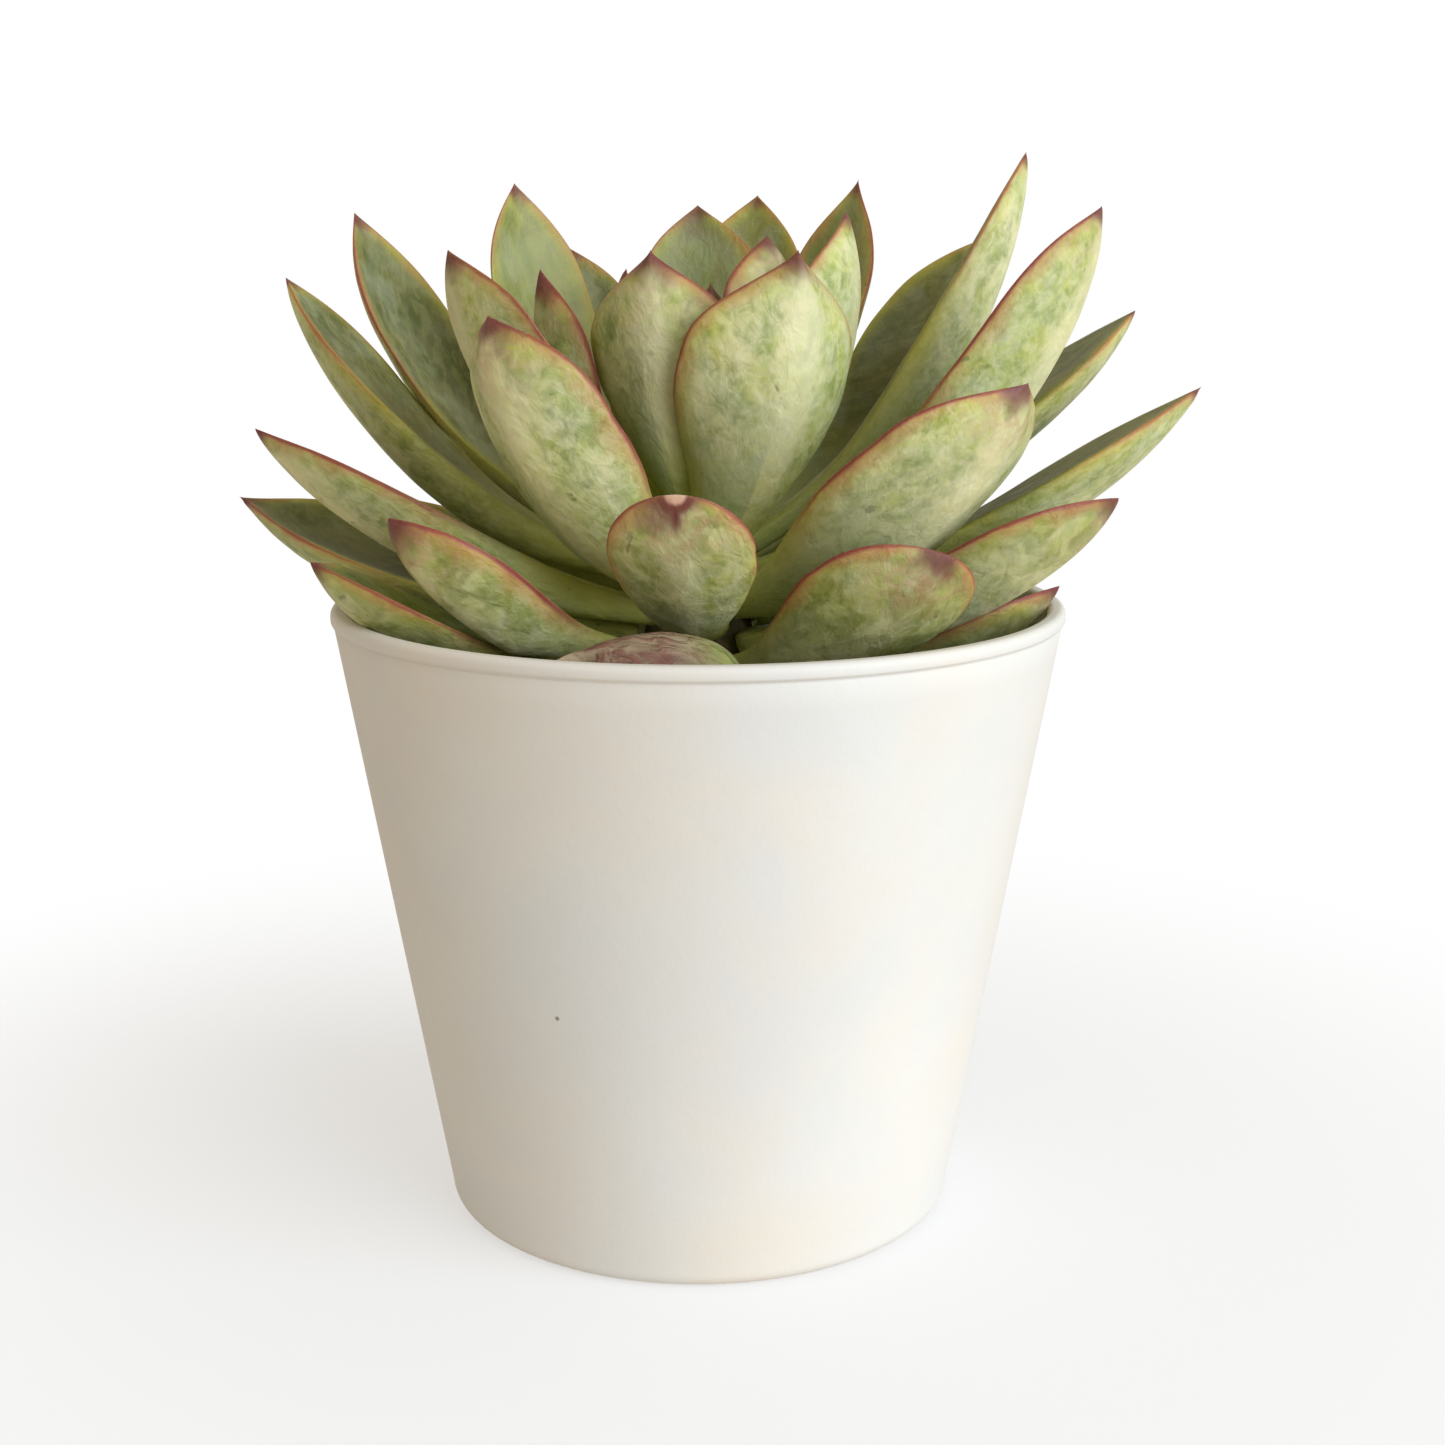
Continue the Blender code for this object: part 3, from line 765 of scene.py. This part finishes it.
    # where each point lies on the leaf, kept for the skin
    inward = wires.times(wires.math("SUBTRACT", 1.0, size), half)
    deep = wires.times(wires.times(up, body), 0.6)
    edge = wires.math("SQRT", wires.math("ADD", wires.times(inward, inward), wires.times(deep, deep)))
    geometry = grid.outputs["Mesh"]
    chord = wires.vector("DISTANCE", take["Tip"], take["Base"])
    lay = wires.place(
        wires.math("ADD", wires.times(along, chord), take["Seed"]),
        wires.times(across, half), wires.math("MULTIPLY_ADD", up, body, take["Seed"]),
    )
    kept = [
        ("along", along), ("across", across), ("face", up), ("edge", edge),
        ("blush", take["Blush"]), ("scar", take["Scar"]), ("age", take["Age"]),
        ("from_tip", wires.vector("DISTANCE", place, take["Tip"])), ("lay", lay),
    ]
    for name, value in kept:
        geometry = wires.node("GeometryNodeStoreNamedAttribute", {
            "Geometry": geometry, "Name": name, "Value": value,
        }, data_type="FLOAT_VECTOR" if name == "lay" else "FLOAT", domain="POINT").outputs[0]
    geometry = wires.change(geometry, "SetPosition", Position=place)
    geometry = wires.change(geometry, "MergeByDistance", Distance=WELD_DISTANCE)

    # uneven, living surface
    here = wires.node("GeometryNodeInputPosition").outputs[0]
    far = wires.vector("ADD", here, wires.place(take["Seed"], 0.0, 0.0))
    swell = wires.noise(far, wires.math("DIVIDE", 1.0, take["Ripple Size"]), 2.0, 0.45)
    calm = wires.node("GeometryNodeInputNamedAttribute", {"Name": "edge"}, data_type="FLOAT").outputs[0]
    calm = wires.smooth(calm, 0.0, 0.003, 0.25, 1.0)
    swell = wires.math("SUBTRACT", swell, 0.5)
    swell = wires.times(swell, wires.times(calm, take["Ripple"]))
    offset = wires.scale(wires.node("GeometryNodeInputNormal").outputs[0], swell)
    geometry = wires.change(geometry, "SetPosition", Offset=offset)
    geometry = wires.change(geometry, "SetShadeSmooth")
    geometry = wires.change(geometry, "RealizeInstances")
    geometry = wires.change(geometry, "SetMaterial", Material=take["Skin"])
    give_outputs(tree, wires, [("Geometry", "Geometry", geometry)])
    return tree


def grow(name, tree, values):
    """Runs a tree with its inputs by name and gives its result as a plain mesh object."""
    holder = bpy.data.objects.new(name, bpy.data.meshes.new(name + " start"))
    bpy.context.scene.collection.objects.link(holder)
    modifier = holder.modifiers.new("grow", "NODES")
    modifier.node_group = tree
    items = tree.interface.items_tree
    sockets = {item.name: item.identifier for item in items if item.in_out == "INPUT"}
    for key, value in values.items():
        modifier[sockets[key]] = value
    bpy.context.view_layer.update()
    evaluated = holder.evaluated_get(bpy.context.evaluated_depsgraph_get())
    grown = bpy.data.meshes.new_from_object(evaluated)
    bpy.data.objects.remove(holder, do_unlink=True)
    piece = bpy.data.objects.new(name, grown)
    bpy.context.scene.collection.objects.link(piece)
    return piece


def settle(piece, slot, *nodes):
    """The piece rides on the one body, and stands for its solids."""
    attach(piece, BODY)
    if nodes:
        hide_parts(*nodes)


def flat(azimuth):
    """The level direction at this angle."""
    angle = math.radians(azimuth)
    return Vector((math.cos(angle), math.sin(angle), 0.0))


def leaf_spine(index, azimuth, reach, rise, bow, hook):
    """Curve of a leaf from the stem to its tip, with its side directions at both ends."""
    age = index / (len(LEAVES) - 1)
    base_way = flat(FIRST_AZIMUTH + SPIRAL_STEP * index)
    tip_way = flat(azimuth)
    radius = STEM_LOW_RADIUS + (STEM_TOP_RADIUS - STEM_LOW_RADIUS) * ease(age)
    base = base_way * (radius + BASE_GAP)
    base += Vector((0.0, 0.0, POT_HEIGHT + CROWN_LOW + (CROWN_TOP - CROWN_LOW) * age))
    tip = tip_way * reach * MM + Vector((0.0, 0.0, POT_HEIGHT + rise * MM))
    chord = tip - base
    level = Vector((chord.x, chord.y, 0.0))
    slope = math.atan2(chord.z, level.length)
    outward = level.normalized() if level.length > LEAST_LEVEL else tip_way
    start_slope = slope - math.radians(bow)
    end_slope = slope + math.radians(BOW_AT_TIP * bow + hook)
    start_way = (base_way + outward).normalized()
    start = start_way * math.cos(start_slope) + Vector((0.0, 0.0, math.sin(start_slope)))
    end = outward * math.cos(end_slope) + Vector((0.0, 0.0, math.sin(end_slope)))
    handle = HANDLE * chord.length
    spine = [base, base + start * handle, tip - end * handle, tip]
    first_side = Vector((-base_way.y, base_way.x, 0.0))
    last_side = Vector((-outward.y, outward.x, 0.0))
    return spine, first_side, last_side


def shape_inputs(spine, first_side, last_side, outline):
    """The leaf tree's inputs for a curve, its side directions and one of the outlines."""
    shoulder, fall, closing, neck, widens = OUTLINES[outline]
    return {
        "Base": spine[0], "Base Handle": spine[1], "Tip Handle": spine[2], "Tip": spine[3],
        "First Side": first_side, "Last Side": last_side,
        "Shoulder": shoulder, "Fall": fall, "Closing": closing, "Neck": neck, "Widens": widens,
    }


def make_leaves(tree, skin):
    for index, row in enumerate(LEAVES):
        azimuth, reach, rise, width, thickness, bow, hook, roll, channel, outline, blush = row
        spine, first_side, last_side = leaf_spine(index, azimuth, reach, rise, bow, hook)
        node = "leaf_%02d" % (index + 1)
        piece = grow("rosette_" + node, tree, {
            **shape_inputs(spine, first_side, last_side, outline),
            "Width": width * MM, "Thickness": thickness * MM,
            "Channel": channel, "Roll": math.radians(roll), "Blush": blush,
            "Scar": float(node == SCARRED_LEAF), "Age": index / (len(LEAVES) - 1),
            "Seed": SEED_STEP * index + FIRST_SEED, "Skin": skin,
        })
        settle(piece, "leaf", node)


def make_withered_leaf(tree, skin):
    """One old leaf that has dried and curled over the mix in front."""
    lift = Vector((0.0, 0.0, POT_HEIGHT))
    spine = [Vector(point) * MM + lift for point in WITHERED_SPINE]
    first_side = Vector((1.0, 0.3, 0.0))
    last_side = Vector((0.0, 0.8, 0.6))
    piece = grow("shrivelled_leaf", tree, {
        **shape_inputs(spine, first_side, last_side, "rounded"),
        "Width": WITHERED_WIDTH, "Thickness": WITHERED_THICKNESS, "Channel": WITHERED_CHANNEL,
        "Ripple": CRINKLE_DEPTH, "Ripple Size": CRINKLE_SIZE, "Seed": WITHERED_SEED, "Skin": skin,
    })
    settle(piece, "withered_leaf", "withered_leaf")


# -------------------- turned pieces

def turned(name, profile, segments, material, wobble=0.0):
    """A closed, smooth solid of revolution from (radius, height) pairs that start and end on the axis."""
    body = bmesh.new()
    rings = []
    for radius, height in profile:
        if radius < 1e-6:
            rings.append([body.verts.new((0.0, 0.0, height))])
            continue
        ring = []
        for step in range(segments):
            angle = math.tau * step / segments
            point = Vector((radius * math.cos(angle), radius * math.sin(angle), height))
            if wobble:
                point *= 1.0 + wobble * noise.noise(point * BARK_SCALE)
            ring.append(body.verts.new(point))
        rings.append(ring)
    for low, high in zip(rings, rings[1:]):
        for step in range(segments):
            after = (step + 1) % segments
            corners = [low[step % len(low)], low[after % len(low)]]
            corners += [high[after % len(high)], high[step % len(high)]]
            corners = list(dict.fromkeys(corners))
            if len(corners) > 2:
                body.faces.new(corners)
    bmesh.ops.recalc_face_normals(body, faces=body.faces)
    mesh = bpy.data.meshes.new(name)
    body.to_mesh(mesh)
    body.free()
    mesh.shade_smooth()
    mesh.materials.append(material)
    piece = bpy.data.objects.new(name, mesh)
    bpy.context.scene.collection.objects.link(piece)
    return piece


def arc(centre, radius, start, end, steps):
    """Points of a profile along part of a circle, with both ends; angles in degrees."""
    angles = [math.radians(start + (end - start) * step / steps) for step in range(steps + 1)]
    return [(centre[0] + radius * math.cos(a), centre[1] + radius * math.sin(a)) for a in angles]


def straight(start, end, steps):
    """Points between two corners of a profile, without either end."""
    return [
        (start[0] + (end[0] - start[0]) * step / steps, start[1] + (end[1] - start[1]) * step / steps)
        for step in range(1, steps)
    ]


def wall_radius(height):
    """Outside of the pot's wall at a height, if it had no lip and no rounded foot."""
    top = RIM_RADIUS - LIP_STEP
    return BASE_RADIUS + (top - BASE_RADIUS) * height / POT_HEIGHT


def pot_inside(height):
    """Inside of the pot's wall at a height above its rounded heel."""
    low = FLOOR + HEEL_ROUND
    low_radius = wall_radius(low) - WALL
    share = (height - low) / (POT_HEIGHT - LIP_ROUND - low)
    return low_radius + (RIM_RADIUS - WALL - low_radius) * share


def make_pot(material):
    """The profile goes out under the floor, up the wall, over the lip, and down the inside."""
    lip_low = POT_HEIGHT - LIP_HEIGHT
    foot = arc((wall_radius(FOOT_ROUND) - FOOT_ROUND, FOOT_ROUND), FOOT_ROUND, -90, 0, 8)
    wall_top = (wall_radius(lip_low - 0.25 * MM), lip_low - 0.25 * MM)
    under_lip = [
        wall_top,
        (wall_top[0] - 0.10 * MM, lip_low),
        (wall_top[0] + 0.10 * MM, lip_low + 0.18 * MM),
        (RIM_RADIUS - 0.12 * MM, lip_low + 0.36 * MM),
        (RIM_RADIUS, lip_low + 0.62 * MM),
    ]
    lip_outer = arc((RIM_RADIUS - LIP_ROUND, POT_HEIGHT - LIP_ROUND), LIP_ROUND, 0, 90, 8)
    inner_top = RIM_RADIUS - WALL
    lip_inner = arc((inner_top + LIP_ROUND, POT_HEIGHT - LIP_ROUND), LIP_ROUND, 90, 180, 6)
    inner_low = wall_radius(FLOOR + HEEL_ROUND) - WALL
    heel = arc((inner_low - HEEL_ROUND, FLOOR + HEEL_ROUND), HEEL_ROUND, 0, -90, 5)
    profile = [(0.0, 0.0)] + straight((0.0, 0.0), foot[0], 6) + foot
    profile += straight(foot[-1], wall_top, 24) + under_lip + lip_outer + lip_inner
    profile += straight(lip_inner[-1], heel[0], 12) + heel + [(0.0, FLOOR)]
    piece = turned("planter", profile, POT_SEGMENTS, material)
    settle(piece, "pot", "pot")


def make_soil(material, grit):
    """A dark uneven bed with crumbs and bits of perlite scattered over it."""
    edge = POT_HEIGHT + SOIL_AT_WALL
    low = FLOOR + SOIL_GAP
    heel = FLOOR + HEEL_ROUND
    top = [
        (pot_inside(edge - 1.0 * MM) - SOIL_GAP, edge - 1.2 * MM),
        (pot_inside(edge) - 1.5 * MM, edge - 0.4 * MM),
        (34.0 * MM, edge - 1.9 * MM),
        (16.0 * MM, POT_HEIGHT + SOIL_AT_STEM + 0.2 * MM),
        (7.0 * MM, POT_HEIGHT + SOIL_AT_STEM - 0.4 * MM),
        (0.0, POT_HEIGHT + SOIL_AT_STEM - 0.6 * MM),
    ]
    profile = [(0.0, low), (pot_inside(heel) - HEEL_ROUND, low), (pot_inside(heel) - SOIL_GAP, heel)]
    profile += straight(profile[-1], top[0], 10)
    for corner, after in zip(top, top[1:]):
        profile += [corner] + straight(corner, after, 8)
    profile += [top[-1]]
    bed = turned("mix_bed", profile, SOIL_SEGMENTS, material)
    settle(bed, "potting_mix", "potting_mix")
    tree = crumb_tree()
    scattered = [
        ("mix_crumbs", CRUMB_COUNT, CRUMB_SIZE, material, 4),
        ("perlite", PERLITE_COUNT, PERLITE_SIZE, grit, 9),
    ]
    for name, count, size, skin, seed in scattered:
        crumbs = grow(name, tree, {
            "Inner": SCATTER_INNER, "Outer": SCATTER_OUTER,
            "Low": POT_HEIGHT + SOIL_AT_STEM - 0.4 * MM, "High": edge - 0.7 * MM,
            "Count": count, "Size": size, "Seed": seed, "Skin": skin,
        })
        settle(crumbs, "potting_mix")


def crumb_tree():
    """Scatters rough little lumps over a dished ring."""
    tree = bpy.data.node_groups.new("crumbs", "GeometryNodeTree")
    wires = Wires(tree)
    take = take_inputs(tree, [
        ("Geometry", "Geometry", None), ("Inner", "Float", 0.01), ("Outer", "Float", 0.05),
        ("Low", "Float", 0.0), ("High", "Float", 0.0), ("Count", "Int", 100),
        ("Size", "Float", 0.002), ("Seed", "Int", 0), ("Skin", "Material", None),
    ])
    points = wires.node("GeometryNodePoints", {"Count": take["Count"]}).outputs[0]

    def random_number(low, high, step):
        made = wires.node("FunctionNodeRandomValue", data_type="FLOAT")
        wires.put(made.inputs[2], low)
        wires.put(made.inputs[3], high)
        wires.put(made.inputs["Seed"], wires.math("ADD", take["Seed"], float(step)))
        return made.outputs[1]

    angle = random_number(0.0, math.tau, 1)
    share = wires.math("SQRT", random_number(0.0, 1.0, 2))
    radius = wires.mix(share, take["Inner"], take["Outer"])
    slope = wires.math("DIVIDE", wires.math("SUBTRACT", radius, take["Inner"]),
                       wires.math("SUBTRACT", take["Outer"], take["Inner"]))
    height = wires.mix(slope, take["Low"], take["High"])
    place = wires.place(
        wires.times(radius, wires.math("COSINE", angle)),
        wires.times(radius, wires.math("SINE", angle)),
        height,
    )
    points = wires.change(points, "SetPosition", Position=place)
    lump = wires.node("GeometryNodeMeshUVSphere", {"Radius": 0.5, "Segments": 6, "Rings": 5}).outputs[0]
    rough = wires.noise(wires.node("GeometryNodeInputPosition").outputs[0], 2.2, 2.0)
    outward = wires.node("GeometryNodeInputNormal").outputs[0]
    swell = wires.scale(outward, wires.math("MULTIPLY_ADD", rough, 0.9, -0.45))
    lump = wires.change(lump, "SetPosition", Offset=swell)
    spin = wires.place(random_number(0.0, math.tau, 3), random_number(0.0, math.tau, 4), angle)
    size = wires.times(take["Size"], random_number(0.4, 1.3, 5))
    stretch = wires.place(size, wires.times(size, 0.75), wires.times(size, 0.6))
    placed = wires.node("GeometryNodeInstanceOnPoints", {
        "Points": points, "Instance": lump, "Rotation": spin, "Scale": stretch,
    }).outputs[0]
    geometry = wires.change(placed, "RealizeInstances")
    geometry = wires.change(geometry, "SetMaterial", Material=take["Skin"])
    give_outputs(tree, wires, [("Geometry", "Geometry", geometry)])
    return tree


def make_stem(material):
    """A short stem that thins into the mix below and towards the youngest leaves above."""
    rim = POT_HEIGHT
    profile = [(0.0, rim - 48.0 * MM), (2.2 * MM, rim - 47.0 * MM), (3.4 * MM, rim - 34.0 * MM)]
    profile += [(6.0 * MM, rim + SOIL_AT_STEM - 3.0 * MM), (6.0 * MM, rim + SOIL_AT_STEM + 1.0 * MM)]
    for step in range(STEM_RINGS + 1):
        age = step / STEM_RINGS
        radius = STEM_LOW_RADIUS + (STEM_TOP_RADIUS - STEM_LOW_RADIUS) * ease(age)
        profile.append((radius - 0.2 * MM, rim + CROWN_LOW + (CROWN_TOP - CROWN_LOW) * age))
    profile += [(2.2 * MM, rim + CROWN_TOP + 1.8 * MM), (0.0, rim + CROWN_TOP + 2.5 * MM)]
    piece = turned("short_stem", profile, STEM_SEGMENTS, material, wobble=STEM_WOBBLE)
    settle(piece, "stem", "stem")


# -------------------- stage, lights, camera

def make_stage():
    """A pale round floor that fades out into the white of the studio."""
    body = bmesh.new()
    bmesh.ops.create_circle(body, cap_ends=True, segments=96, radius=STAGE_RADIUS)
    mesh = bpy.data.meshes.new("floor")
    body.to_mesh(mesh)
    body.free()
    material, wires = new_material("pale floor")
    place = wires.node("ShaderNodeTexCoord").outputs["Object"]
    away = wires.vector("LENGTH", place)
    finish_material(wires, {
        "Base Color": STAGE_TONE, "Roughness": 0.9, "Specular IOR Level": 0.1,
        "Alpha": wires.smooth(away, *STAGE_FADE, STAGE_OPACITY, 0.0),
    })
    mesh.materials.append(material)
    floor = bpy.data.objects.new("floor", mesh)
    bpy.context.scene.collection.objects.link(floor)


def make_lights():
    """A broad soft key from the right and front, and a warm, weaker room all round.

    The camera sees plain white where it sees the room.
    """
    data = bpy.data.lights.new("key", "SUN")
    data.energy = KEY_POWER
    data.angle = math.radians(KEY_SPREAD)
    data.color = KEY_TINT
    key = bpy.data.objects.new("key", data)
    side, rise = math.radians(KEY_SIDE), math.radians(KEY_RISE)
    from_key = Vector((
        math.sin(side) * math.cos(rise), -math.cos(side) * math.cos(rise), math.sin(rise),
    ))
    key.rotation_euler = from_key.to_track_quat("Z", "Y").to_euler()
    bpy.context.scene.collection.objects.link(key)

    world = bpy.data.worlds.new("studio")
    world.use_nodes = True
    world.node_tree.nodes.clear()
    wires = Wires(world.node_tree)
    room = wires.node("ShaderNodeBackground", {"Color": ROOM_TINT, "Strength": ROOM_POWER})
    white = wires.node("ShaderNodeBackground", {"Color": (1.0, 1.0, 1.0, 1.0), "Strength": 1.0})
    seen = wires.node("ShaderNodeLightPath").outputs["Is Camera Ray"]
    both = wires.node("ShaderNodeMixShader", {0: seen, 1: room.outputs[0], 2: white.outputs[0]})
    end = wires.node("ShaderNodeOutputWorld")
    wires.put(end.inputs["Surface"], both.outputs[0])
    bpy.context.scene.world = world


def make_camera():
    data = bpy.data.cameras.new("camera")
    data.sensor_width = SENSOR
    data.lens = FOCAL
    data.clip_start = 0.01
    camera = bpy.data.objects.new("camera", data)
    camera.location = CAMERA_PLACE
    camera.rotation_euler = (math.radians(90.0 - CAMERA_PITCH), 0.0, -math.radians(CAMERA_YAW))
    bpy.context.scene.collection.objects.link(camera)
    bpy.context.scene.camera = camera
    bpy.context.scene.view_settings.view_transform = "Standard"


make_camera()
make_lights()
make_stage()
LEAF_TREE = leaf_tree()
make_leaves(LEAF_TREE, leaf_material())
make_withered_leaf(LEAF_TREE, withered_material())
make_pot(pot_material())
make_soil(soil_material(), perlite_material())
make_stem(stem_material())
